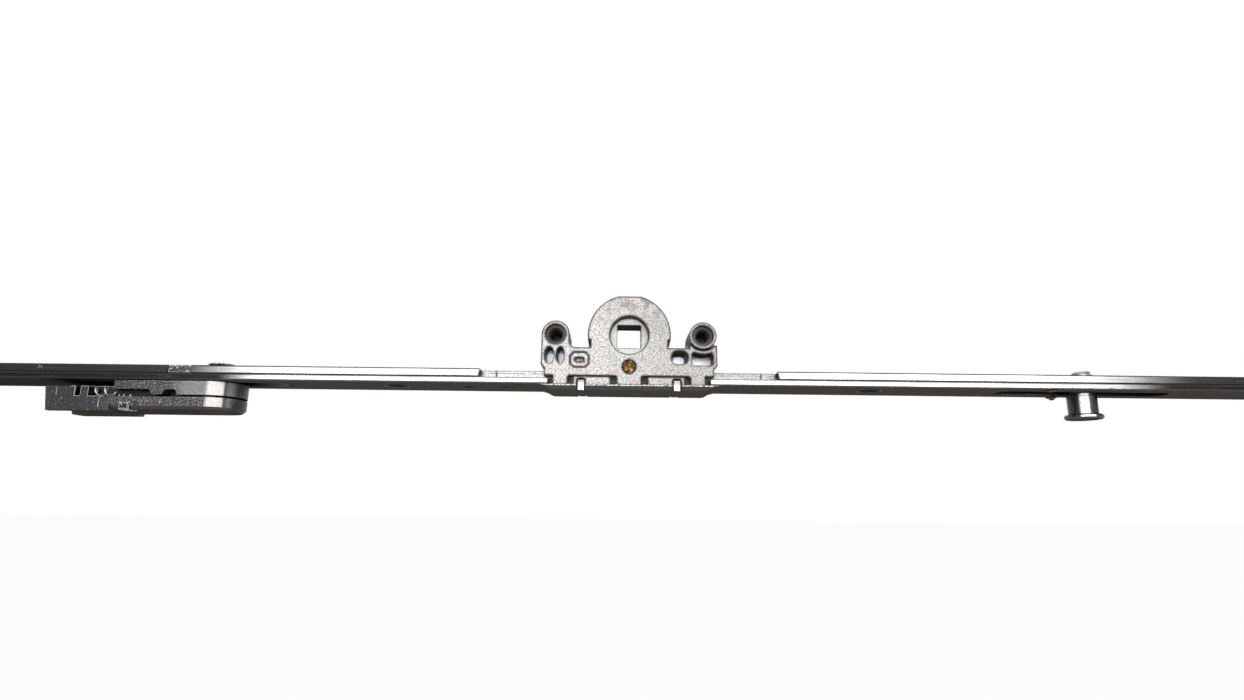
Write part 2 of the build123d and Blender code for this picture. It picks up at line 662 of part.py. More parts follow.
screw_slot_length = 2 * TRAVEL + SCREW_SLOT_WIDTH
with BuildPart() as drive_strip_left:
    strip_blank(-1, rail_left)
    slot_through(SCREW_LEFT_X, screw_slot_length, SCREW_SLOT_WIDTH, strip_foot_z, strip_top_z)
    rod(PIVOT_X, LEVER_SHANK / 2 + PRESS_FIT, strip_foot_z, strip_top_z, Mode.SUBTRACT)
    block(
        stake_left_x - STAKE_FIT, stake_right_x + STAKE_FIT,
        -STRIP_WIDTH / 2, STAKE_DEPTH + STAKE_FIT - STRIP_WIDTH / 2,
        strip_foot_z, strip_top_z, Mode.SUBTRACT,
    )
finish(drive_strip_left, "drive_strip_left")

with BuildPart() as drive_strip_right:
    strip_blank(1, rail_right)
    slot_through(SCREW_RIGHT_X, screw_slot_length, SCREW_SLOT_WIDTH, strip_foot_z, strip_top_z)
    rod(CAM_X, CAM_SHANK / 2 + PRESS_FIT, strip_foot_z, strip_top_z, Mode.SUBTRACT)
finish(drive_strip_right, "drive_strip_right")

# Block staked into the edge of the left strip
with BuildPart() as strip_stake:
    block(
        stake_left_x, stake_right_x, -STRIP_WIDTH / 2, STAKE_DEPTH - STRIP_WIDTH / 2,
        strip_foot_z, strip_top_z,
    )
    chamfer(strip_stake.faces().sort_by(Axis.Y)[0].edges(), STRIP_EDGE)
finish(strip_stake, "strip_stake")


def peened_head(x, height):
    """A hammered rivet head on the drive strip: a low disc with an off-centre crown."""
    rod(x, RIVET_HEAD_RADIUS, strip_top_z, strip_top_z + height / 2)
    with Locations((x + RIVET_CROWN_SHIFT, 0, strip_top_z + height / 2)):
        Cone(
            RIVET_HEAD_RADIUS - RIVET_CROWN_STEP, RIVET_HEAD_RADIUS - 2 * RIVET_CROWN_STEP,
            height / 2,
            align=(Align.CENTER, Align.CENTER, Align.MIN),
        )


# Mushroom cam: rivet through strip and faceplate slot, washer, and flanged roller
with BuildPart() as cam_rivet:
    peened_head(CAM_X, CAM_HEAD_HEIGHT)
    rod(CAM_X, CAM_SHANK / 2, cam_washer_foot_z, strip_top_z)
    rod(CAM_X, CAM_PIN / 2, cam_foot_z + CAM_RECESS_DEPTH - CAM_FOOT_HEIGHT, cam_washer_foot_z)
    rod(
        CAM_X, CAM_FOOT_RADIUS, cam_foot_z + CAM_RECESS_DEPTH - CAM_FOOT_HEIGHT - RUNNING_FIT,
        cam_foot_z + CAM_RECESS_DEPTH - RUNNING_FIT,
    )
finish(cam_rivet, "cam_rivet")

with BuildPart() as cam_washer:
    rod(CAM_X, CAM_RADIUS, cam_washer_foot_z, cam_washer_top_z)
    rod(CAM_X, CAM_SHANK / 2 + PRESS_FIT, cam_washer_foot_z, cam_washer_top_z, Mode.SUBTRACT)
finish(cam_washer, "cam_washer")

with BuildPart() as cam_roller:
    rod(CAM_X, CAM_RADIUS, cam_foot_z, cam_roller_top_z)
    rod(CAM_X, CAM_FLANGE_RADIUS, cam_foot_z, cam_flange_top_z)
    rim_edges = cam_roller.edges().filter_by(GeomType.CIRCLE).sort_by(SortBy.RADIUS)[-2:]
    chamfer(rim_edges, CAM_FLANGE_EDGE)
    rod(CAM_X, CAM_PIN / 2 + RUNNING_FIT, cam_foot_z, cam_roller_top_z, Mode.SUBTRACT)
    rod(
        CAM_X, CAM_FOOT_RADIUS + 2 * RUNNING_FIT, cam_foot_z, cam_foot_z + CAM_RECESS_DEPTH,
        Mode.SUBTRACT,
    )
finish(cam_roller, "cam_roller")

# Upper lever of the lifter, with the stepped near edge that blocks the gear
with BuildPart() as blocking_lever:
    with BuildSketch(Plane.XY.offset(upper_lever_foot_z)):
        with Locations((PIVOT_X, 0)):
            Rectangle(
                upper_lever_reach, 2 * lever_half_width, align=(Align.MAX, Align.CENTER)
            )
            Circle(upper_lever_reach, mode=Mode.INTERSECT)
            Circle(lever_half_width)
    extrude(amount=UPPER_LEVER_THICKNESS)
    notch_top_z = upper_lever_foot_z + LEVER_NOTCH_HEIGHT
    with BuildSketch(upright(-lever_half_width)):
        Polygon(
            (PIVOT_X - upper_lever_reach - 1, upper_lever_foot_z),
            (first_notch_x, upper_lever_foot_z),
            (first_notch_x - LEVER_NOTCH_SLANT, notch_top_z),
            (PIVOT_X - upper_lever_reach - 1, notch_top_z),
            align=None,
        )
        Polygon(
            (second_notch_x, upper_lever_foot_z),
            (second_notch_x + SECOND_NOTCH_WIDTH, upper_lever_foot_z),
            (second_notch_x + SECOND_NOTCH_WIDTH - LEVER_NOTCH_SLANT, notch_top_z),
            (second_notch_x + LEVER_NOTCH_SLANT, notch_top_z),
            align=None,
        )
    extrude(amount=-LEVER_NOTCH_DEPTH, mode=Mode.SUBTRACT)
    rod(
        PIVOT_X, LEVER_SHANK / 2 + RUNNING_FIT, upper_lever_foot_z, upper_lever_top_z,
        Mode.SUBTRACT,
    )
finish(blocking_lever, "blocking_lever")

# Lower lever: flat arm with a deep head at its left end, a lug and a back wall for the spring
head_foot_z = lower_lever_foot_z - HEAD_FOOT_DROP
with BuildPart() as lifter_lever:
    with BuildSketch(Plane.XY.offset(lower_lever_foot_z)):
        span(head_right_x - 1, PIVOT_X, -lever_half_width, lever_half_width)
        with Locations((PIVOT_X, 0)):
            Circle(lever_half_width)
    extrude(amount=LOWER_LEVER_THICKNESS)
    foot_edges = lifter_lever.faces().sort_by(Axis.Z)[0].edges()
    chamfer(foot_edges - foot_edges.filter_by(Axis.Y), LOWER_LEVER_CHAMFER)
    block(
        head_right_x - 1, foot_right_x, -lever_half_width, lever_half_width,
        head_foot_z, lower_lever_foot_z + 1,
    )
    with BuildSketch(upright(lever_half_width)) as head_side:
        with BuildLine():
            Polyline(
                (head_left_x, head_foot_z),
                (head_right_x, head_foot_z),
                (head_right_x, head_top_z),
                (head_left_x - HEAD_END_SLANT, head_top_z),
                close=True,
            )
        make_face()
    extrude(head_side.sketch, amount=2 * lever_half_width)
    end_edges = [
        edge for edge in lifter_lever.edges()
        if edge.center().X < head_left_x and abs(edge.tangent_at(0).Z) > 0.5
    ]
    fillet(end_edges, HEAD_CORNER)
    block(
        head_right_x - 1, PIVOT_X - upper_lever_reach, spring_y + SPRING_RADIUS + SPRING_WIRE,
        lever_half_width, lower_lever_top_z, upper_lever_top_z - SPRING_WALL_DROP,
    )
    rod(PIVOT_X, spring_reach, lower_lever_top_z, upper_lever_top_z, Mode.SUBTRACT)
    channel_near = HEAD_WALL - lever_half_width
    block(
        head_left_x - HEAD_END_SLANT, head_left_x + HEAD_CHANNEL_LENGTH,
        channel_near, channel_near + HEAD_CHANNEL_WIDTH, head_foot_z, head_top_z - HEAD_ROOF,
        Mode.SUBTRACT,
    )
    block(
        spring_lug_x, spring_lug_x + SPRING_LUG_LENGTH, -lever_half_width,
        spring_y + SPRING_RADIUS + SPRING_WIRE, lower_lever_top_z, head_top_z,
    )
    block(
        peg_left_x - STAKE_FIT, peg_right_x + STAKE_FIT, -lever_half_width,
        PEG_DEPTH + STAKE_FIT - lever_half_width, head_foot_z,
        lower_lever_foot_z + PEG_HEIGHT + STAKE_FIT, Mode.SUBTRACT,
    )
    rod(
        PIVOT_X, LEVER_SHANK / 2 + RUNNING_FIT, lower_lever_foot_z, lower_lever_top_z,
        Mode.SUBTRACT,
    )
    rod(
        PIVOT_X, LEVER_FOOT_RADIUS + 2 * RUNNING_FIT, lower_lever_foot_z,
        lower_lever_foot_z + LEVER_FOOT_HEIGHT + LEVER_FOOT_GAP, Mode.SUBTRACT,
    )
finish(lifter_lever, "lifter_lever")

# Square peg in the near edge of the lower lever
with BuildPart() as lever_peg:
    block(
        peg_left_x, peg_right_x, -lever_half_width - PEG_PROUD, PEG_DEPTH - lever_half_width,
        lower_lever_foot_z - PEG_PROUD, lower_lever_foot_z + PEG_HEIGHT,
    )
    chamfer(lever_peg.faces().sort_by(Axis.Y)[0].edges(), PEG_PROUD)
finish(lever_peg, "lever_peg")

# Rivet and spacer that carry both levers under the left strip
with BuildPart() as lever_rivet:
    peened_head(PIVOT_X, LEVER_HEAD_HEIGHT)
    rod(PIVOT_X, LEVER_SHANK / 2, lower_lever_foot_z, strip_top_z)
    rod(PIVOT_X, LEVER_FOOT_RADIUS, lower_lever_foot_z, lower_lever_foot_z + LEVER_FOOT_HEIGHT)
finish(lever_rivet, "lever_rivet")

with BuildPart() as lever_spacer:
    rod(PIVOT_X, LEVER_SPACER_RADIUS, lower_lever_top_z, upper_lever_foot_z)
    rod(
        PIVOT_X, LEVER_SHANK / 2 + PRESS_FIT, lower_lever_top_z, upper_lever_foot_z,
        Mode.SUBTRACT,
    )
finish(lever_spacer, "lever_spacer")

# Coil spring between the seat lug and the end of the upper lever
spring_inner_y = spring_y + SPRING_RADIUS + SPRING_WIRE / 2
spring_end_x = PIVOT_X - sqrt(spring_reach**2 - spring_inner_y**2)
spring_start_x = spring_lug_x + SPRING_LUG_LENGTH + SPRING_WIRE / 2
spring_length = spring_end_x - spring_start_x - SPRING_WIRE / 2
spring_z = lower_lever_top_z + SPRING_RADIUS + SPRING_WIRE / 2 + RUNNING_FIT
with BuildPart() as lifter_spring:
    with BuildLine():
        coil = Helix(
            spring_length / SPRING_TURNS, spring_length, SPRING_RADIUS,
            center=(spring_start_x, spring_y, spring_z), direction=(1, 0, 0),
        )
    with BuildSketch(Plane(coil @ 0, z_dir=coil % 0)):
        RegularPolygon(SPRING_WIRE / 2, 8)
    sweep(is_frenet=True)
finish(lifter_spring, "lifter_spring")
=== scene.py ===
"""Finish, small parts, studio and camera of the window espagnolette gearbox.

Laid out as an add-on and run as a script. Metres; X runs along the rail, Y away from the
viewer, Z up, and the origin is the middle of the square spindle socket.
"""

from math import pi, radians

import bpy
from mathutils import Matrix, Vector


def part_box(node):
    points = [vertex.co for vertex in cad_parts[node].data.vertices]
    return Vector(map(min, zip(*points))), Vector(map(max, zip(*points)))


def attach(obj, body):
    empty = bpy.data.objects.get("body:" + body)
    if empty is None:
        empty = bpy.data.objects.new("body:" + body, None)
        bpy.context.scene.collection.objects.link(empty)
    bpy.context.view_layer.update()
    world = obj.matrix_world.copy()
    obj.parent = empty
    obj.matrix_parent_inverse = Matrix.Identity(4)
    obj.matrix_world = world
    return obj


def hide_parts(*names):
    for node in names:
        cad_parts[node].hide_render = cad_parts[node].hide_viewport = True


bl_info = {
    "name": "Espagnolette Gearbox",
    "version": (1, 0, 0),
    "blender": (4, 5, 0),
    "location": "View3D > Sidebar > Gearbox",
    "description": "Finishes, small parts, studio and camera of a window espagnolette gearbox",
    "category": "Object",
}

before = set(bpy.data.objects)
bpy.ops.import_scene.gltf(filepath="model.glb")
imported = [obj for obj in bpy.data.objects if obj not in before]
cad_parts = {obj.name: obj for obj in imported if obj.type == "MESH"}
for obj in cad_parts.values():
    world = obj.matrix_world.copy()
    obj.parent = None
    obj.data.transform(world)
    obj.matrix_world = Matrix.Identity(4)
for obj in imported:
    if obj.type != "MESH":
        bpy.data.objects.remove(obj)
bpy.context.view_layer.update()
MM = 0.001

# Numbers of the axes, and of two outputs of a Texture Coordinate node.
X, Y, Z = 0, 1, 2
NORMAL, PLACE = 1, 3


def linear(text):
    """Linear colour with full alpha from an sRGB hex value."""
    channels = [int(text[i:i + 2], 16) / 255 for i in (0, 2, 4)]
    channels = [c / 12.92 if c <= 0.04045 else ((c + 0.055) / 1.055) ** 2.4 for c in channels]
    return (*channels, 1.0)


def paint(name, text, about):
    """A colour property whose default is an sRGB hex value."""
    return bpy.props.FloatVectorProperty(
        name=name, description=about, default=linear(text), subtype="COLOR", size=4,
        min=0, max=1,
    )


def size(name, millimetres, about):
    """A length property whose default is given in millimetres."""
    return bpy.props.FloatProperty(
        name=name, description=about, default=millimetres * MM, unit="LENGTH"
    )


class FinishSettings(bpy.types.PropertyGroup):
    """Colours of the metals, of the dirt on them, and of the painted shade and painted
    highlights.
    """

    zinc: paint("Zinc", "EDE9E5", "As-cast zinc alloy")
    zinc_speck: paint("Zinc specks", "8C8784", "Dark specks of the casting")
    zinc_smudge: paint("Zinc smudges", "948D8B", "Handling marks near the top of the case")
    zinc_rose: paint("Zinc rose", "E6D6D6", "Faint pink tarnish")
    zinc_green: paint("Zinc green", "D3E2D8", "Faint green tarnish")
    zinc_blue: paint("Zinc blue", "D0DEEC", "Faint blue tarnish")
    # Painted shade: the walls and the right end of the castings, and the ribs in the lug slots.
    zinc_wall_shade: paint("Zinc walls", "403E3C", "Duller skin on the walls of the castings")
    # Painted shade: dark lines along edges and joints, and darkening in crevices.
    edge: paint("Edges", "35332F", "Grime along trimmed edges and in crevices")
    pocket: paint("Pocket floors", "EDF1F8", "Smooth bluish die skin in the pockets")
    hub: paint("Hub", "EBEEE9", "Smooth zinc alloy of the follower")
    steel: paint("Steel", "D9DADA", "Bright zinc-plated strip")
    # Painted shade: the rail darkens towards both ends.
    steel_end_shade: paint("Steel dull", "1B1D1F", "Dulled plating at both ends of the rail")
    # Painted shade on every face that looks down.
    under: paint("Underside", "6B6560", "Grimy film on the outer face of the rail")
    lever: paint("Lever", "68696A", "Dull grey zinc alloy of the levers")
    lever_grain: paint("Lever grain", "303131", "Dark grain of the levers")
    # Also painted shade on the round ends of the levers and towards the ends of the rivet
    # heads.
    lever_dark_and_shade: paint("Lever dark", "34363A", "Oily skin of the lever head and ends")
    rivet: paint("Rivet", "C6C6C4", "Peened steel")
    cam: paint("Cam", "43433E", "Turned cam steel")
    # Oily dark of threads and sleeves, and also painted shade in holes, gaps and crevices,
    # under faces and on the parts inside the case.
    bore: paint("Bores", "2E2C2C", "Oily dark of the screw threads")
    grease: paint("Grease", "4B3A2A", "Old grease")
    rust: paint("Rust", "7A4E26", "Rust bloom")
    brass: paint("Brass", "CFA968", "Fresh tear in the brass")
    brass_dark: paint("Brass dark", "6A5430", "Tarnish in the brass")
    # Also a painted highlight: the base of the rack, the spring wire, the burrs and the tray's
    # glints.
    floor: paint("Floor", "FAFAFA", "Pale studio floor")


class PartSettings(bpy.types.PropertyGroup):
    """Sizes of the small parts that are modelled here."""

    boss_x: size("Boss distance", 21.5, "Distance of a handle screw boss from the middle")
    thread_radius: size("Thread radius", 2.15, "Radius of the bore that the thread is cut in")
    thread_pitch: size("Thread pitch", 0.8, "Pitch of the M5 thread")
    thread_depth: size("Thread depth", 0.3, "Height of a thread ridge")
    thread_start: size("Thread start", -4.2, "Where the thread starts across the case")
    thread_turns: bpy.props.IntProperty(
        name="Thread turns", description="Turns of thread in a boss", default=10
    )
    tear_depth: size("Tear depth", 0.45, "How far the torn brass stands out of the stub")
    lug_x: size("Lug distance", 14.4, "Distance of a joining lug from the middle")
    lug_z: size("Lug height", -7.5, "Height of the joining lugs")
    lug_floor: size("Lug slot floor", 4.8, "Distance of the slot's floor from the middle plane")
    rib_spacing: size("Rib spacing", 0.62, "Distance between the ribs in a lug slot")
    rib_width: size("Rib width", 0.26, "Width of a rib")
    rib_depth: size("Rib depth", 0.55, "Height of a rib above the floor of its slot")
    rib_height: size("Rib length", 1.1, "Length of a rib, upright")
    claw_x: size("Claw distance", 13.8, "Distance of a bent claw from the middle")
    # The filler in the claw slots is dark blocks of painted shade.
    filler_middle: size("Dirt place", 5.1, "Distance of the dirt from the middle plane")
    filler_width: size("Dirt width", 2.64, "Width of the dirt in a claw's slot")
    filler_depth: size("Dirt depth", 1.4, "Thickness of the dirt in a claw's slot")
    claw_height: size("Claw height", 3.2, "Height of a claw's slot")
    filler_share: bpy.props.FloatProperty(
        name="Dirt share", description="Share of the slot's height that is packed with dirt",
        default=0.94,
    )
    peening_rise: size("Peening rise", 0.5, "How far the hammered top of a rivet stands out")
    spring_wire: size("Spring wire", 0.55, "Thickness of the spring wire")
    spring_turns: bpy.props.IntProperty(
        name="Spring turns", description="Turns of wire", default=2
    )
    burr_height: size("Burr height", 0.95, "Height of the burrs on the lower lever")
    burr_inset: size("Burr inset", 0.4, "Distance of a burr's middle from the near edge")
    burr_lift: size("Burr lift", 0.05, "How far a burr's middle stands above the lever")
    scratch_width: size("Scratch width", 0.14, "Width of a burr thrown up by a scratch")
    scratch_height: size("Scratch height", 0.04, "How far a scratch's burr stands out")
    rust_x: size("Rust place", 129.9, "Where old grease hangs under the faceplate")
    rust_film: size("Rust film", 0.2, "Thickness of the film of old grease")
    rust_drip: size("Rust drip", 0.7, "How far the drip of old grease hangs down")
    rust_margin: size("Rust margin", 0.1, "Distance of the grease from the rail's long edges")


class StudioSettings(bpy.types.PropertyGroup):
    """Camera and lamps."""

    lens: bpy.props.FloatProperty(
        name="Lens", description="Focal length on a 36 mm sensor", default=20.06, unit="CAMERA"
    )
    camera_x: size("Camera X", -3.78, "Camera place along the rail")
    camera_y: size("Camera Y", -202.5, "Camera place in front of the gearbox")
    camera_z: size("Camera Z", -47.65, "Camera place below the spindle")
    yaw: bpy.props.FloatProperty(
        name="Yaw", description="Turn to the right", default=0.0085, subtype="ANGLE"
    )
    pitch: bpy.props.FloatProperty(
        name="Pitch", description="Tilt upwards", default=0.2157, subtype="ANGLE"
    )
    roll: bpy.props.FloatProperty(
        name="Roll", description="Turn about the line of sight", default=0.0099, subtype="ANGLE"
    )
    floor_z: size("Floor", -150.0, "Height of the studio floor")
    fill: bpy.props.FloatProperty(
        name="Fill", description="Strength of the light from all round", default=0.2
    )
    key: bpy.props.FloatProperty(
        name="Key", description="Power of the wide front softbox", default=1.15, subtype="POWER"
    )
    top: bpy.props.FloatProperty(
        name="Top", description="Power of the top softbox", default=0.6, subtype="POWER"
    )


def add(tree, kind, inputs, out=0, **settings):
    """Add a node, or take one that is there, set it, feed its inputs and return an output."""
    node = tree.nodes.new("ShaderNode" + kind) if isinstance(kind, str) else kind
    for key, value in settings.items():
        setattr(node, key, value)
    sockets = [socket for socket in node.inputs if socket.enabled]
    for key, value in inputs.items():
        named = [socket for socket in sockets if socket.name == key]
        socket = sockets[key] if isinstance(key, int) else named[0]
        if isinstance(value, bpy.types.NodeSocket):
            tree.links.new(value, socket)
        else:
            socket.default_value = value
    shown = [socket for socket in node.outputs if socket.enabled]
    return shown[out] if shown else None


def finish_of(name):
    """A new node material and its tree."""
    material = bpy.data.materials.new(name)
    material.use_nodes = True
    return material, material.node_tree


def patches(tree, across, low, high, stretch=(1, 1, 1), most=1.0, detail=4.0):
    """A mask of irregular patches about so many mm across, drawn out along an axis by stretch.

    The most it reaches is a value or another mask, as in all the masks below.
    """
    place = add(tree, "TexCoord", {}, PLACE)
    scale = [1 / (across * MM * factor) for factor in stretch]
    place = add(tree, "Mapping", {"Vector": place, "Scale": scale})
    cloud = add(
        tree, "TexNoise", {"Vector": place, "Scale": 1.0, "Detail": detail, "Roughness": 0.6}
    )
    return add(
        tree, "MapRange",
        {"Value": cloud, "From Min": low, "From Max": high, "To Max": most},
        interpolation_type="SMOOTHSTEP",
    )


def rise(tree, output, axis, low, high, most):
    """A mask that rises as one axis of a coordinate goes from one value to another."""
    vector = add(tree, "TexCoord", {}, output)
    value = add(tree, "SeparateXYZ", {"Vector": vector}, axis)
    return add(
        tree, "MapRange",
        {"Value": value, "From Min": low, "From Max": high, "To Max": most},
        interpolation_type="SMOOTHSTEP",
    )


def along(tree, axis, first, last, most=1.0):
    """A mask that rises from one place in mm along an axis to another."""
    return rise(tree, PLACE, axis, first * MM, last * MM, most)


def band(tree, axis, first, last, blur, most=1.0):
    """A mask of the stretch between two places in mm along an axis, blurred by so many mm."""
    risen = along(tree, axis, first - blur, first + blur, most)
    return along(tree, axis, last + blur, last - blur, risen)


def facing(tree, axis, low, high, most=1.0):
    """A mask that rises as the normal's share along an axis goes from one value to another."""
    return rise(tree, NORMAL, axis, low, high, most)


def underside(tree, most=1.0):
    """A mask of the faces that look down."""
    return facing(tree, Z, -0.3, -0.8, most)


def crevices(tree, reach, most=1.0):
    """A mask of the hollows and inner corners within so many mm, where shade is painted."""
    sky = add(tree, "AmbientOcclusion", {"Distance": reach * MM}, 1, samples=6)
    return add(
        tree, "MapRange", {"Value": sky, "From Min": 0.75, "From Max": 0.1, "To Max": most}
    )


def edges(tree, reach, most=1.0):
    """A mask of the edges, so many mm to each side of them."""
    rounded = add(tree, "Bevel", {"Radius": reach * MM}, samples=6)
    plain = add(tree, "NewGeometry", {}, 1)
    same = add(tree, "VectorMath", {0: rounded, 1: plain}, operation="DOT_PRODUCT")
    return add(
        tree, "MapRange", {"Value": same, "From Min": 0.999, "From Max": 0.982, "To Max": most}
    )


def near_axis(tree, centre, inner, outer, most=1.0):
    """A mask round axes along Y, centre mm to each side: full within inner, gone at outer."""
    place = add(tree, "TexCoord", {}, PLACE)
    place = add(tree, "VectorMath", {0: place}, operation="ABSOLUTE")
    place = add(
        tree, "VectorMath", {0: place, 1: (centre * MM, 0, 0)}, operation="SUBTRACT"
    )
    place = add(tree, "VectorMath", {0: place, 1: (1, 0, 1)}, operation="MULTIPLY")
    away = add(tree, "VectorMath", {0: place}, 0, operation="LENGTH")
    return add(
        tree, "MapRange",
        {"Value": away, "From Min": outer * MM, "From Max": inner * MM, "To Max": most},
    )


def coats(tree, base, *layers):
    """Colour built up in coats: each is a mask and the colour that shows through it."""
    for mask, hue in layers:
        base = add(tree, "Mix", {"Factor": mask, "A": base, "B": hue}, data_type="RGBA")
    return base


def polish(tree, hue, metallic, rough, relief, depth, shine=0.5):
    """Feed the shader.

    Metal share, roughness and shine are values, or a mask with the values at its dark and at
    its light end. The relief is a mask and its depth is in mm.
    """
    normal = add(tree, "Bump", {"Height": relief, "Distance": depth * MM, "Strength": 1.0})
    feeds = {"Base Color": hue, "Normal": normal}
    for socket, value in (
        ("Metallic", metallic), ("Roughness", rough), ("Specular IOR Level", shine)
    ):
        if isinstance(value, tuple):
            mask, low, high = value
            value = add(tree, "MapRange", {"Value": mask, "To Min": low, "To Max": high})
        feeds[socket] = value
    add(tree, tree.nodes["Principled BSDF"], feeds)


def cast_zinc(
    name, finish, base, speck, outline, smudges=0.0, pockets=0.0, seam_and_shade=0.0, ring_shade=0.0
):
    """Die-cast zinc alloy, as cast.

    Bright grey faces with a fine dark speckle from the die's skin and faint coloured
    tarnish, painted shade on the walls and towards the right end, smooth bright floors in the
    pockets, painted shade as dark lines along the trimmed edges and in the crevices, and
    painted shade on what faces down. The rack has a ragged parting line, and painted shade
    with dirt where it runs inside the case; the tray has a painted dark line and painted glints
    along its near edge; and painted shade lies where the follower meets the case.
    """
    material, tree = finish_of(name)
    skin = patches(tree, 0.14, 0.3, 0.7)
    rose = patches(tree, 5.5, 0.5, 0.66)
    green = patches(tree, 6.5, 0.52, 0.68, (1, 1, 0.8))
    blue = patches(tree, 4.2, 0.54, 0.66, most=along(tree, Z, 4, -6))
    marks = patches(tree, 2.2, 0.44, 0.66, most=along(tree, Z, 2, 10, smudges))
    specks = patches(tree, 0.5, 0.42, 0.62, most=speck, detail=6.0)
    pits = patches(tree, 0.8, 0.6, 0.68, most=0.7)
    shade = along(tree, X, -16, 24, 0.25)
    wall = facing(tree, Y, 0.8, 0.4, facing(tree, Y, -0.8, -0.4))
    floor = facing(tree, Y, -0.85, -0.97, along(tree, Z, -10.4, -9.9, pockets))
    pocket = along(tree, Y, -5.8, -5.5, floor)
    bores = near_axis(tree, 21.5, 2.9, 3.15, 0.92)
    hub_ring_shade = near_axis(tree, 0.0, 5.7, 5.3, ring_shade)
    rack_seam = band(tree, Z, -11.7, -11.4, 0.08, seam_and_shade)
    in_case_dirt_and_shade = band(tree, X, -24.4, 24.4, 0.3, seam_and_shade)
    near_side = facing(tree, Y, -0.7, -0.9, 0.95)
    tray_edge_shade = band(tree, Z, -14.9, -14.7, 0.08, near_side)
    tray_glints = band(tree, Z, -15.4, -15.1, 0.06, near_side)
    below = facing(tree, Z, -0.3, -0.6)
    hue = coats(
        tree, base,
        (rose, finish.zinc_rose),
        (green, finish.zinc_green),
        (blue, finish.zinc_blue),
        (marks, finish.zinc_smudge),
        (specks, finish.zinc_speck),
        (pits, finish.zinc_speck),
        # Painted shade: darker towards the right end, and on the walls.
        (shade, finish.zinc_wall_shade),
        (wall, finish.zinc_wall_shade),
        (pocket, finish.pocket),
        (bores, finish.bore),
        # Painted shade where the follower meets the case.
        (hub_ring_shade, finish.bore),
        (patches(tree, 0.7, 0.38, 0.48, (5, 1, 1), rack_seam), finish.zinc_smudge),
        # Painted shade, with dirt, on the rack inside the case.
        (in_case_dirt_and_shade, finish.bore),
        # Painted shade: dark lines along the edges and darkening in the crevices.
        (edges(tree, outline, 0.95), finish.edge),
        (crevices(tree, 1.6, wall), finish.edge),
        (crevices(tree, 0.6, 0.9), finish.edge),
        # A painted dark line along the tray's near edge, with painted glints below it.
        (tray_edge_shade, finish.edge),
        (patches(tree, 0.4, 0.46, 0.54, (2, 1, 1), tray_glints), finish.floor),
        # Painted shade on what faces down.
        (below, finish.under),
    )
    polish(tree, hue, (below, 0.8, 0.0), (pocket, 0.5, 0.3), skin, 0.02, (below, 0.5, 0.0))
    return material


def strip_steel(name, finish, left, right, dull):
    """Zinc-plated cold-rolled steel strip.

    Bright and drawn lengthwise in the middle of the rail, with painted shade darkening it
    towards both ends, and fine nicks; the outer face carries painted shade in brown-grey, and
    painted shade lies along the edges and the joint, inside the case, in the holes and in the
    crevices. Left and right are the places in mm where the painted end shade starts and where
    it is full.
    """
    material, tree = finish_of(name)
    drawn = patches(tree, 0.22, 0.3, 0.75, (50, 1, 1))
    lines = patches(tree, 0.22, 0.3, 0.75, (50, 1, 1), 0.25)
    stains = patches(tree, 1.4, 0.55, 0.75, (9, 1, 0.8), 0.2)
    scores = patches(tree, 0.5, 0.7, 0.74, (0.5, 1, 3), 0.7)
    nicked = along(tree, Z, -14.3, -14.7, along(tree, X, 120, 126, 0.9))
    front = facing(tree, Y, -0.3, -0.6, 0.85)
    top_edge = band(tree, Z, -11.0, -10.5, 0.04, front)
    joint = band(tree, Z, -13.35, -12.85, 0.04, front)
    inside = along(tree, X, 24, 23.2, along(tree, X, -24, -23.2))
    waist_shade = along(tree, Y, -5.2, -4.9, inside)
    below = underside(tree)
    far_end_shade = underside(tree, along(tree, X, -100, -150, 0.6))
    greasy = patches(tree, 3.0, 0.5, 0.7, (3, 1, 1), underside(tree, 0.35))
    inner = band(tree, Y, -6.2, 6.2, 0.2, facing(tree, Z, 0.3, 0.1, 0.9))
    hole_shade = along(tree, X, -90, -80, along(tree, Z, -14.85, -14.75, inner))
    hue = coats(
        tree, finish.steel,
        (lines, finish.zinc_speck),
        # Painted shade: the rail darkens towards both ends.
        (along(tree, X, *left, dull), finish.steel_end_shade),
        (along(tree, X, *right, dull), finish.steel_end_shade),
        (stains, finish.zinc_speck),
        (scores, finish.zinc_speck),
        # Painted shade: dark lines along the edges, the top edge and the joint.
        (edges(tree, 0.32, 0.9), finish.edge),
        (patches(tree, 0.5, 0.52, 0.56, (1, 1, 2), nicked), finish.bore),
        (top_edge, finish.edge),
        (joint, finish.edge),
        # Painted shade on the waist inside the case, on what faces down, under the far end, in
        # the holes and in the crevices; the greasy patches are grease.
        (waist_shade, finish.bore),
        (below, finish.under),
        (far_end_shade, finish.bore),
        (greasy, finish.grease),
        (hole_shade, finish.bore),
        (crevices(tree, 1.2, 0.9), finish.bore),
    )
    polish(tree, hue, (below, 0.95, 0.0), (drawn, 0.22, 0.4), drawn, 0.006, (below, 0.5, 0.0))
    return material


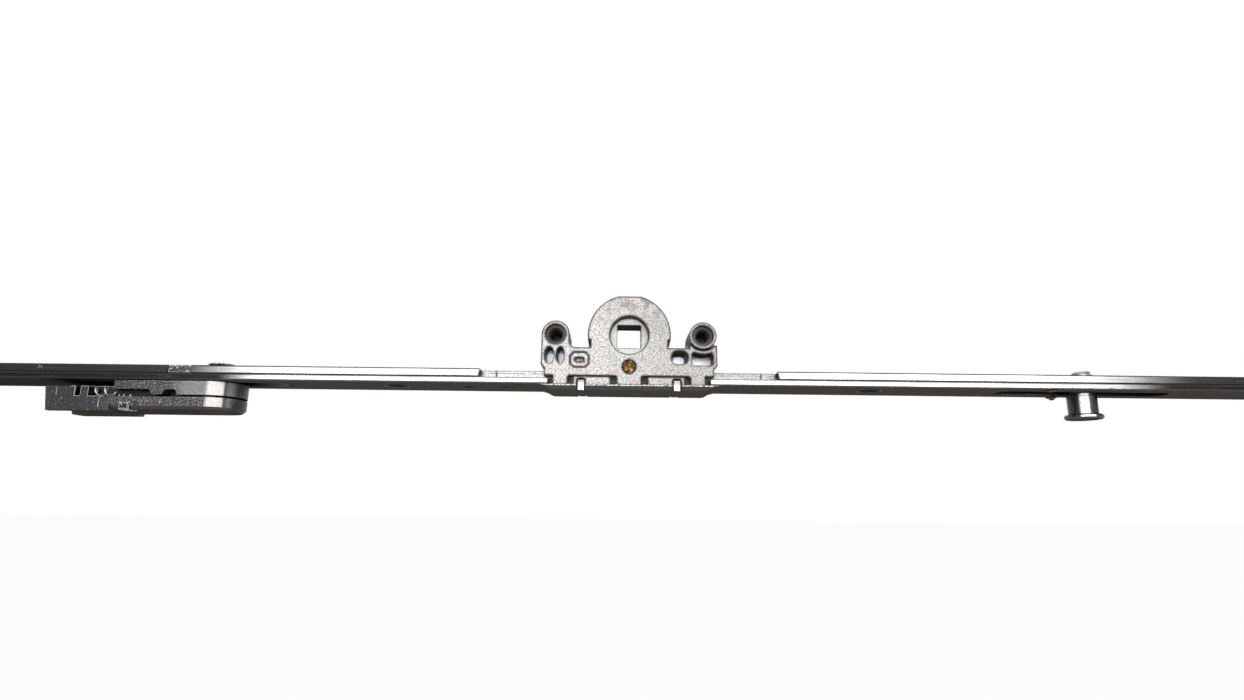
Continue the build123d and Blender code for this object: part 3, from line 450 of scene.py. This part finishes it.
def lever_zinc(name, finish):
    """Die-cast zinc alloy gone dull.

    Dark grey with a coarse sandy grain and painted glints in points, darker towards the head,
    with a painted highlight across the flank near the round end, painted shade on the round
    end, along the edges, on the set-back faces, on what faces down and in the crevices, and a
    painted highlight along the lower edges of the head.
    """
    material, tree = finish_of(name)
    relief = patches(tree, 0.6, 0.34, 0.62, detail=6.0)
    grain = patches(tree, 0.45, 0.42, 0.56, most=0.95, detail=6.0)
    glints = patches(tree, 0.4, 0.56, 0.62, most=0.6)
    clouds = patches(tree, 3.0, 0.4, 0.7, most=0.4)
    head = along(tree, X, -137, -154, 0.8)
    rubbed = along(tree, X, -131, -124, along(tree, Z, -20.2, -19.8, 0.3))
    painted_sheen = band(tree, X, -119.4, -114.2, 0.7, facing(tree, Y, -0.1, -0.4, 0.7))
    round_end_shade = along(tree, X, -113.7, -112.8, 0.85)
    sparks = patches(tree, 0.5, 0.64, 0.7, most=0.5)
    set_back = along(tree, Y, -6.2, -5.8, facing(tree, Y, -0.5, -0.8, 0.95))
    notch_shade = along(tree, X, -147, -146.6, set_back)
    head_edge_highlight = band(tree, X, -157.6, -148, 0.3, along(tree, Z, -21.4, -20.8, 0.95))
    below = underside(tree)
    upper_below_shade = along(tree, Z, -20.2, -19.8, underside(tree))
    hue = coats(
        tree, finish.lever,
        (grain, finish.lever_grain),
        # Painted glints in the grain.
        (glints, finish.rivet),
        (clouds, finish.lever_grain),
        (head, finish.lever_dark_and_shade),
        (rubbed, finish.rivet),
        # Painted highlight across the flank; painted shade on the round end.
        (painted_sheen, finish.zinc),
        (round_end_shade, finish.lever_dark_and_shade),
        # More painted glints.
        (sparks, finish.zinc),
        # Painted shade along the edges and on the set-back faces; painted highlight along the
        # head's lower edges.
        (edges(tree, 0.16, 0.5), finish.bore),
        (notch_shade, finish.bore),
        (edges(tree, 0.16, head_edge_highlight), finish.zinc),
        # Painted shade on what faces down and in the crevices.
        (below, finish.under),
        (underside(tree, 0.4), finish.bore),
        (upper_below_shade, finish.bore),
        (crevices(tree, 1.8, 0.95), finish.bore),
    )
    polish(tree, hue, (below, 0.9, 0.0), (relief, 0.28, 0.42), relief, 0.05, (below, 0.5, 0.0))
    return material


def turned_steel(name, finish):
    """Turned steel.

    Fine rings about the upright axis that draw a reflection out across the turning, with a
    painted highlight across the middle, dark at the sides, spots of old grease, a painted
    highlight on the edges and painted shade in the crevices and on what faces down.
    """
    material, tree = finish_of(name)
    rings = patches(tree, 0.09, 0.3, 0.7, (60, 60, 1))
    ring_lines = patches(tree, 0.09, 0.3, 0.7, (60, 60, 1), 0.3)
    smear = patches(tree, 1.8, 0.5, 0.7)
    greasy = patches(tree, 1.8, 0.5, 0.7, most=0.15)
    painted_sheen = band(tree, X, 131.7, 133.9, 0.3)
    painted_sheen_flange = band(tree, X, 131.0, 134.6, 0.3, along(tree, Z, -21.6, -21.9))
    below = underside(tree)
    hue = coats(
        tree, finish.cam,
        # Painted highlight across the middle of the roller and of the flange.
        (painted_sheen, finish.steel),
        (painted_sheen_flange, finish.steel),
        (ring_lines, finish.lever_grain),
        (greasy, finish.grease),
        # Painted highlight on the edges; painted shade in the crevices and on what faces down.
        (edges(tree, 0.14, 0.3), finish.steel),
        (crevices(tree, 1.0, 0.85), finish.bore),
        (below, finish.under),
    )
    polish(tree, hue, (below, 0.92, 0.0), (smear, 0.2, 0.36), rings, 0.006, (below, 0.5, 0.0))
    return material


def peened_steel(name, finish, middle):
    """Steel hammered over in riveting: bright at its middle, with painted shade towards its
    ends.
    """
    material, tree = finish_of(name)
    blows = patches(tree, 1.0, 0.3, 0.7, detail=3.0)
    bruises = patches(tree, 1.0, 0.3, 0.6, most=0.5, detail=3.0)
    below = underside(tree)
    hue = coats(
        tree, finish.rivet,
        (bruises, finish.lever_grain),
        # Painted shade towards both ends of the head.
        (along(tree, X, middle - 1.4, middle - 2.2), finish.lever_dark_and_shade),
        (along(tree, X, middle + 1.3, middle + 2.0), finish.lever_dark_and_shade),
        # Painted shade in the crevices and on what faces down.
        (crevices(tree, 0.8, 0.8), finish.bore),
        (below, finish.under),
    )
    polish(tree, hue, (below, 0.9, 0.0), (blows, 0.25, 0.45), blows, 0.12, (below, 0.5, 0.0))
    return material


def hammered_steel(name, finish, base):
    """Steel staked in with a hammer: dull and dark, with a painted highlight along its ragged
    outline.
    """
    material, tree = finish_of(name)
    blows = patches(tree, 0.7, 0.35, 0.65)
    hollows = patches(tree, 0.7, 0.35, 0.65, most=0.7)
    high_spots = patches(tree, 0.8, 0.56, 0.62, most=0.8)
    gaps = patches(tree, 0.6, 0.55, 0.6, most=0.8)
    hue = coats(
        tree, base,
        (hollows, finish.lever_dark_and_shade),
        (high_spots, finish.zinc),
        # Painted highlight along the edges.
        (edges(tree, 0.28, 0.85), finish.zinc),
        (gaps, finish.lever_dark_and_shade),
    )
    polish(tree, hue, 0.9, (blows, 0.25, 0.5), blows, 0.1)
    return material


def torn_brass(name, finish):
    """Brass broken in shear: a torn golden face, brown where it is tarnished."""
    material, tree = finish_of(name)
    torn = patches(tree, 0.9, 0.36, 0.6, detail=5.0)
    # Painted shade in the hollows.
    hollows = crevices(tree, 0.8, 0.9)
    hue = coats(tree, finish.brass, (torn, finish.brass_dark), (hollows, finish.bore))
    polish(tree, hue, 0.85, (torn, 0.28, 0.5), torn, 0.25)
    return material


def spring_steel(name, finish, base, shine):
    """Drawn spring wire and raised burrs: smooth, bright and lightly oiled."""
    material, tree = finish_of(name)
    drawn = patches(tree, 0.3, 0.4, 0.7)
    stains = patches(tree, 0.3, 0.4, 0.7, most=0.4)
    hue = coats(tree, base, (stains, finish.zinc_speck))
    polish(tree, hue, shine, (drawn, 0.16, 0.3), drawn, 0.004)
    return material


def oily_thread(name, finish):
    """Tapped zinc, black with oil and filings."""
    material, tree = finish_of(name)
    grit = patches(tree, 0.25, 0.35, 0.7)
    filings = patches(tree, 0.25, 0.35, 0.7, most=0.25)
    hue = coats(tree, finish.bore, (filings, finish.zinc_speck))
    polish(tree, hue, 0.5, (grit, 0.35, 0.6), grit, 0.03)
    return material


def old_grease(name, base, dirt):
    """Old grease: a dull film caked with crumbs of dirt or rust."""
    material, tree = finish_of(name)
    crumbs = patches(tree, 0.35, 0.35, 0.65)
    hue = coats(tree, base, (crumbs, dirt))
    polish(tree, hue, 0.0, (crumbs, 0.45, 0.8), crumbs, 0.12)
    return material


def dress(material, *names):
    """Give CAD nodes one finish."""
    for name in names:
        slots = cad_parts[name].data.materials
        slots.clear()
        slots.append(material)


def block(place, span, lean=0.0):
    """A cube's options: its middle, its size and its lean in degrees about Y."""
    return {"size": 1.0, "location": place, "rotation": (0, radians(lean), 0), "scale": span}


def lump(place, reach, detail=4):
    """A ball's options: its middle, its reach along each axis and how fine it is."""
    return {"subdivisions": detail, "radius": 1.0, "location": place, "scale": reach}


def start(kind, name, *shapes):
    """A new piece of primitives of one kind, in edit mode with all of it selected."""
    object_mode()
    bpy.ops.object.select_all(action="DESELECT")
    add_shape = getattr(bpy.ops.mesh, f"primitive_{kind}_add")
    add_shape(**shapes[0])
    piece = bpy.context.object
    piece.name = piece.data.name = name
    bpy.ops.object.mode_set(mode="EDIT")
    for shape in shapes[1:]:
        add_shape(**shape)
    bpy.ops.mesh.select_all(action="SELECT")
    return piece


def object_mode():
    """Leave edit mode, if a piece is in it."""
    if bpy.context.object and bpy.context.object.mode == "EDIT":
        bpy.ops.object.mode_set(mode="OBJECT")


def apply(piece, kind, **settings):
    """Add a modifier to a piece and apply it."""
    object_mode()
    modifier = piece.modifiers.new(kind.title(), kind)
    for key, value in settings.items():
        setattr(modifier, key, value)
    bpy.ops.object.modifier_apply(modifier=modifier.name)


def wind(name, profile, **settings):
    """Wind a round profile into a screw and close both of its ends."""
    piece = start("circle", name, profile)
    object_mode()
    bpy.ops.object.transform_apply(location=True, rotation=True)
    apply(piece, "SCREW", **settings)
    bpy.ops.object.mode_set(mode="EDIT")
    bpy.ops.mesh.select_all(action="SELECT")
    bpy.ops.mesh.region_to_loop()
    bpy.ops.mesh.edge_face_add()
    object_mode()
    return piece


def close(piece, material, body, smooth=35):
    """Finish a piece: place in its mesh, faces outward, smooth below an angle, on a body."""
    object_mode()
    bpy.ops.object.transform_apply(location=True, rotation=True, scale=True)
    bpy.ops.object.mode_set(mode="EDIT")
    bpy.ops.mesh.select_all(action="SELECT")
    bpy.ops.mesh.remove_doubles(threshold=0.002 * MM)
    bpy.ops.mesh.normals_make_consistent(inside=False)
    object_mode()
    bpy.ops.object.shade_smooth_by_angle(angle=radians(smooth))
    piece.data.materials.clear()
    piece.data.materials.append(material)
    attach(piece, body)


class GEARBOX_OT_castings(bpy.types.Operator):
    """Finish the zinc castings of the gearbox"""

    bl_idname = "gearbox.castings"
    bl_label = "Castings"

    def execute(self, context):
        finish = context.scene.gearbox_finish
        case = cast_zinc(
            "zinc_die_cast", finish, finish.zinc, speck=0.8, outline=0.72, smudges=0.8,
            pockets=1.0,
        )
        dress(case, "near_case_half", "far_case_half", "case_tray")
        # The rack takes the white floor colour as its base: a painted highlight.
        rack = cast_zinc("zinc_rack", finish, finish.floor, speck=0.5, outline=0.15, seam_and_shade=0.8)
        dress(rack, "drive_rack")
        hub = cast_zinc(
            "zinc_follower", finish, finish.hub, speck=0.25, outline=0.42, ring_shade=0.95
        )
        dress(hub, "follower")
        return {"FINISHED"}


class GEARBOX_OT_fixing_pin(bpy.types.Operator):
    """Tear off the brass pin that fixed the gear"""

    bl_idname = "gearbox.fixing_pin"
    bl_label = "Fixing pin"

    def execute(self, context):
        deep = context.scene.gearbox_part.tear_depth
        brass = torn_brass("brass_torn", context.scene.gearbox_finish)
        dress(brass, "fixing_pin_stub")
        low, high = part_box("fixing_pin_stub")
        middle = (low + high) / 2
        reach = (high.x - low.x) / 2 - deep / 4
        face = lump((middle.x, low.y, middle.z), (reach, deep, reach), 3)
        tear = start("ico_sphere", "pin_tear", face)
        bpy.ops.transform.vertex_random(offset=deep / 2, normal=0.4, seed=4)
        close(tear, brass, "housing", 12)
        return {"FINISHED"}


class GEARBOX_OT_lug_ribs(bpy.types.Operator):
    """Cast four ribs into the slot of each joining lug"""

    bl_idname = "gearbox.lug_ribs"
    bl_label = "Lug ribs"

    def execute(self, context):
        finish = context.scene.gearbox_finish
        part = context.scene.gearbox_part
        # The ribs take the painted wall shade.
        dark = cast_zinc("zinc_lug_ribs", finish, finish.zinc_wall_shade, speck=0.3, outline=0.1)
        span = (part.rib_width, part.rib_depth, part.rib_height)
        for name, side in (("lug_ribs_near", -1), ("lug_ribs_far", 1)):
            middle = side * part.lug_x
            deep = side * (part.lug_floor + part.rib_depth / 2)
            shapes = [
                block((middle + step * part.rib_spacing, deep, part.lug_z), span)
                for step in (-1.5, -0.5, 0.5, 1.5)
            ]
            ribs = start("cube", name, *shapes)
            close(ribs, dark, "housing")
        return {"FINISHED"}


class GEARBOX_OT_slot_shade(bpy.types.Operator):
    """Pack dark blocks round the four bent claws, behind their outer faces, as painted shade in
    their slots
    """

    bl_idname = "gearbox.slot_dirt"
    bl_label = "Dirt in the slots"

    def execute(self, context):
        finish = context.scene.gearbox_finish
        part = context.scene.gearbox_part
        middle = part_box("case_tray")[0].z + part.claw_height / 2
        span = (part.filler_width, part.filler_depth, part.filler_share * part.claw_height)
        shapes = [
            block((end * part.claw_x, side * part.filler_middle, middle), span)
            for side in (-1, 1) for end in (-1, 1)
        ]
        dirt = start("cube", "slot_dirt", *shapes)
        # Dark blocks of painted shade in the claw slots.
        close(dirt, old_grease("slot_shade_black", finish.bore, finish.grease), "housing")
        return {"FINISHED"}


class GEARBOX_OT_rail(bpy.types.Operator):
    """Finish the faceplate and the drive strips"""

    bl_idname = "gearbox.rail"
    bl_label = "Rail"

    def execute(self, context):
        finish = context.scene.gearbox_finish
        face = strip_steel("steel_faceplate", finish, (-102, -117), (130, 156), 0.995)
        strip = strip_steel("steel_drive_strip", finish, (-100, -130), (120, 165), 0.97)
        dress(face, "faceplate")
        dress(strip, "drive_strip_left", "drive_strip_right")
        dress(hammered_steel("steel_staked", finish, finish.lever), "strip_stake")
        return {"FINISHED"}


class GEARBOX_OT_screw_threads(bpy.types.Operator):
    """Cut the M5 thread in each handle screw bore"""

    bl_idname = "gearbox.screw_threads"
    bl_label = "Screw threads"

    def execute(self, context):
        part = context.scene.gearbox_part
        dark = oily_thread("zinc_tapped", context.scene.gearbox_finish)
        profile = {
            "vertices": 3, "radius": part.thread_depth, "location": (part.thread_radius, 0, 0),
            "rotation": (pi / 2, 0, pi),
        }
        for name, side in (("thread_left", -1), ("thread_right", 1)):
            ridge = wind(
                name, profile, screw_offset=part.thread_pitch, iterations=part.thread_turns,
                steps=24, render_steps=24, use_merge_vertices=True,
            )
            ridge.rotation_euler = (-pi / 2, 0, 0)
            ridge.location = (side * part.boss_x, part.thread_start, 0)
            close(ridge, dark, "housing")
        return {"FINISHED"}


class GEARBOX_OT_cam(bpy.types.Operator):
    """Finish the turned mushroom cam"""

    bl_idname = "gearbox.cam"
    bl_label = "Mushroom cam"

    def execute(self, context):
        turned = turned_steel("steel_turned", context.scene.gearbox_finish)
        dress(turned, "cam_washer", "cam_roller")
        return {"FINISHED"}


class GEARBOX_OT_rivets(bpy.types.Operator):
    """Finish both rivets and hammer their tops"""

    bl_idname = "gearbox.rivets"
    bl_label = "Rivets"

    def execute(self, context):
        finish = context.scene.gearbox_finish
        dress(peened_steel("steel_peened_cam", finish, 134.4), "cam_rivet")
        # The lever rivet gets painted shade towards both ends of its head.
        painted_sheen = peened_steel("steel_peened_levers", finish, -120.0)
        dress(painted_sheen, "lever_rivet", "lever_spacer")

        peened = hammered_steel("steel_peened_top", finish, finish.rivet)
        height = context.scene.gearbox_part.peening_rise
        # Share of the head that was hammered, and in mm how far off its middle.
        for node, share, shift in (("cam_rivet", 0.6, 1.1), ("lever_rivet", 0.88, 0.0)):
            low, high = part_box(node)
            middle = (low + high) / 2
            reach = share * (high.x - low.x) / 2
            top = lump((middle.x + shift * MM, middle.y, high.z), (reach, reach, height))
            peening = start("ico_sphere", node + "_peening", top)
            bpy.ops.transform.vertex_random(offset=height / 4, normal=0.6, seed=5)
            close(peening, peened, "drive", 25)
        return {"FINISHED"}


class GEARBOX_OT_levers(bpy.types.Operator):
    """Finish the two levers of the sash lifter, wind their spring and raise burrs"""

    bl_idname = "gearbox.levers"
    bl_label = "Levers"

    def execute(self, context):
        finish = context.scene.gearbox_finish
        part = context.scene.gearbox_part
        dress(lever_zinc("zinc_lever", finish), "blocking_lever", "lifter_lever")
        dress(hammered_steel("steel_peg", finish, finish.bore), "lever_peg")
        # White as the floor: a painted highlight on the spring wire and the burrs.
        bright = spring_steel("steel_spring_wire", finish, finish.floor, 0.35)
        dress(bright, "lifter_spring")

        # Wound from the far side, so that whole turns face the viewer.
        low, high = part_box("lifter_spring")
        thick = part.spring_wire
        coil = (high.z - low.z - thick) / 2
        profile = {"vertices": 12, "radius": thick / 2, "location": (0, coil, 0)}
        wire = wind(
            "spring_wire", profile, axis="X", iterations=part.spring_turns, steps=32,
            render_steps=32, screw_offset=(high.x - low.x - thick) / part.spring_turns,
        )
        wire.location = (low.x + thick / 2, (low.y + high.y) / 2, (low.z + high.z) / 2)
        close(wire, bright, "lower_lever", 50)
        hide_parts("lifter_spring")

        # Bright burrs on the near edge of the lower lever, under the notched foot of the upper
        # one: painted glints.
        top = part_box("lever_spacer")[0].z + part.burr_lift
        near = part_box("lifter_lever")[0].y + part.burr_inset
        shapes = [
            {
                "vertices": 6, "radius1": wide * MM, "radius2": wide * MM / 3,
                "depth": part.burr_height, "location": (place * MM, near, top),
            }
            for place, wide in ((-143.9, 0.3), (-142.6, 0.4), (-140.7, 0.5))
        ]
        burrs = start("cone", "lever_burr_glints", *shapes)
        close(burrs, bright, "lower_lever")
        return {"FINISHED"}


class GEARBOX_OT_scratches(bpy.types.Operator):
    """Scratch the near faces of the rail and the lower lever"""

    bl_idname = "gearbox.scratches"
    bl_label = "Scratches"

    def execute(self, context):
        part = context.scene.gearbox_part
        finish = context.scene.gearbox_finish
        bright = spring_steel("steel_scratched", finish, finish.rivet, 0.5)
        # Place along the rail, height, length in mm and lean in degrees of each scratch.
        marks = {
            ("strip_scratches", "drive_strip_left", "drive"): (
                (-168.0, -11.6, 1.1, 24), (-167.3, -11.6, 0.9, -22), (-117.2, -12.0, 1.2, 4),
            ),
            ("faceplate_scratches", "faceplate", "housing"): (
                (118.0, -14.0, 0.9, 75), (139.4, -13.8, 1.0, 30), (140.4, -14.2, 0.8, -35),
            ),
            ("lever_scratches", "lifter_lever", "lower_lever"): (
                (-149.0, -21.6, 2.9, 2), (-149.1, -21.5, 2.5, 4), (-156.3, -18.7, 2.6, 0),
                (-156.2, -18.8, 2.7, 2), (-161.3, -18.6, 2.4, -3), (-131.9, -21.3, 1.3, 3),
                (-159.6, -20.6, 0.5, 30), (-142.6, -21.6, 0.8, 80),
            ),
        }
        for (name, node, body), places in marks.items():
            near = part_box(node)[0].y
            shapes = [
                block(
                    (along_rail * MM, near, high * MM),
                    (part.scratch_width, 2 * part.scratch_height, length * MM), lean,
                )
                for along_rail, high, length, lean in places
            ]
            piece = start("cube", name, *shapes)
            close(piece, bright, body)
        return {"FINISHED"}


class GEARBOX_OT_rust(bpy.types.Operator):
    """Hang a lump of rusty grease under the faceplate, clear of the cam's path"""

    bl_idname = "gearbox.rust"
    bl_label = "Rusty grease"

    def execute(self, context):
        finish = context.scene.gearbox_finish
        part = context.scene.gearbox_part
        low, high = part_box("faceplate")
        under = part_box("cam_washer")[1].z
        film = part.rust_film
        shapes = []
        # Shift along the rail and reach in mm, height, and the long edge that it lies at.
        for shift, wide, deep, side in (
            (-8.0, 1.5, film, -1), (-0.6, 1.6, film, 1), (0.0, 0.9, part.rust_drip, 1)
        ):
            edge = low.y if side < 0 else high.y
            place = edge - side * (wide * MM + part.rust_margin)
            reach = (wide * MM, wide * MM, deep)
            shapes.append(lump((part.rust_x + shift * MM, place, under), reach))
        grease = start("ico_sphere", "rust_lump", *shapes)
        bpy.ops.transform.vertex_random(offset=film / 3, normal=0.5, seed=2)
        apply(grease, "REMESH", mode="VOXEL", voxel_size=0.09 * MM)
        close(grease, old_grease("grease_rusty", finish.grease, finish.rust), "housing", 60)
        return {"FINISHED"}


def softbox(name, place, span, power, target):
    """A rectangular lamp that points at a target."""
    bpy.ops.object.light_add(type="AREA", location=place)
    lamp = bpy.context.object
    lamp.name = name
    lamp.data.shape = "RECTANGLE"
    lamp.data.size, lamp.data.size_y = span
    lamp.data.energy = power
    lamp.rotation_euler = (Vector(target) - Vector(place)).to_track_quat("-Z", "Y").to_euler()


def seen_directly(tree, most):
    """A mask for rays from the camera, from mirrors and through glass."""
    rays = add(tree, "LightPath", {}).node.outputs
    seen = rays["Is Camera Ray"]
    for kind in ("Is Glossy Ray", "Is Transmission Ray"):
        seen = add(tree, "Math", {0: seen, 1: rays[kind]}, operation="MAXIMUM")
    return add(tree, "MapRange", {"Value": seen, "To Max": most})


class GEARBOX_OT_studio(bpy.types.Operator):
    """Set up the floor, the lamps, the white surroundings and the camera"""

    bl_idname = "gearbox.studio"
    bl_label = "Studio"

    def execute(self, context):
        studio = context.scene.gearbox_studio
        finish = context.scene.gearbox_finish
        bpy.ops.object.select_all(action="DESELECT")
        bpy.ops.mesh.primitive_plane_add(size=8, location=(0, 0, studio.floor_z))
        floor = context.object
        floor.name = "studio_floor"
        # Matt paper: it keeps a soft shadow and shows almost white to the camera.
        paper, tree = finish_of("paper_matt")
        shader = tree.nodes["Principled BSDF"]
        matt = {"Base Color": finish.floor, "Roughness": 0.9, "Specular IOR Level": 0.0}
        add(tree, shader, matt)
        glow = add(tree, "Emission", {"Color": (1, 1, 1, 1), "Strength": 1.0})
        share = seen_directly(tree, 0.96)
        mixed = add(tree, "MixShader", {0: share, 1: shader.outputs[0], 2: glow})
        tree.links.new(mixed, tree.nodes["Material Output"].inputs["Surface"])
        floor.data.materials.append(paper)

        world = bpy.data.worlds.new("studio_white")
        world.use_nodes = True
        context.scene.world = world
        tree = world.node_tree
        seen = seen_directly(tree, 1.0)
        strength = add(tree, "Mix", {"Factor": seen, "A": studio.fill, "B": 1.0})
        add(tree, tree.nodes["Background"], {"Color": (1, 1, 1, 1), "Strength": strength})

        softbox("front_softbox", (0.04, -0.5, 0.07), (1.0, 0.12), studio.key, (0.02, 0, -0.01))
        softbox("top_softbox", (0.0, -0.1, 0.7), (0.9, 0.5), studio.top, (0, 0, 0))

        turn = (
            Matrix.Rotation(-studio.yaw, 3, "Z")
            @ Matrix.Rotation(pi / 2 + studio.pitch, 3, "X")
            @ Matrix.Rotation(studio.roll, 3, "Z")
        )
        bpy.ops.object.camera_add(
            location=(studio.camera_x, studio.camera_y, studio.camera_z),
            rotation=turn.to_euler(),
        )
        camera = context.object
        camera.name = "photo_camera"
        camera.data.sensor_width = 36
        camera.data.lens = studio.lens
        camera.data.clip_start = 0.005
        context.scene.camera = camera
        context.scene.view_settings.view_transform = "Standard"
        return {"FINISHED"}


STEPS = (
    GEARBOX_OT_castings,
    GEARBOX_OT_fixing_pin,
    GEARBOX_OT_lug_ribs,
    GEARBOX_OT_slot_shade,
    GEARBOX_OT_rail,
    GEARBOX_OT_screw_threads,
    GEARBOX_OT_cam,
    GEARBOX_OT_rivets,
    GEARBOX_OT_levers,
    GEARBOX_OT_scratches,
    GEARBOX_OT_rust,
    GEARBOX_OT_studio,
)


class GEARBOX_PT_panel(bpy.types.Panel):
    """Lists the steps that build the look of the gearbox"""

    bl_idname = "GEARBOX_PT_panel"
    bl_label = "Gearbox"
    bl_space_type = "VIEW_3D"
    bl_region_type = "UI"
    bl_category = "Gearbox"

    def draw(self, context):
        for step in STEPS:
            self.layout.operator(step.bl_idname)


CLASSES = (FinishSettings, PartSettings, StudioSettings, *STEPS, GEARBOX_PT_panel)


def register():
    """Register the classes and give the scene its settings."""
    for kind in CLASSES:
        bpy.utils.register_class(kind)
    bpy.types.Scene.gearbox_finish = bpy.props.PointerProperty(type=FinishSettings)
    bpy.types.Scene.gearbox_part = bpy.props.PointerProperty(type=PartSettings)
    bpy.types.Scene.gearbox_studio = bpy.props.PointerProperty(type=StudioSettings)


def unregister():
    """Take the settings and classes away again."""
    for name in ("gearbox_studio", "gearbox_part", "gearbox_finish"):
        delattr(bpy.types.Scene, name)
    for kind in reversed(CLASSES):
        bpy.utils.unregister_class(kind)


def main():
    """Build everything in order."""
    register()
    for step in STEPS:
        getattr(bpy.ops.gearbox, step.bl_idname.split(".")[1])()


if __name__ == "__main__":
    main()
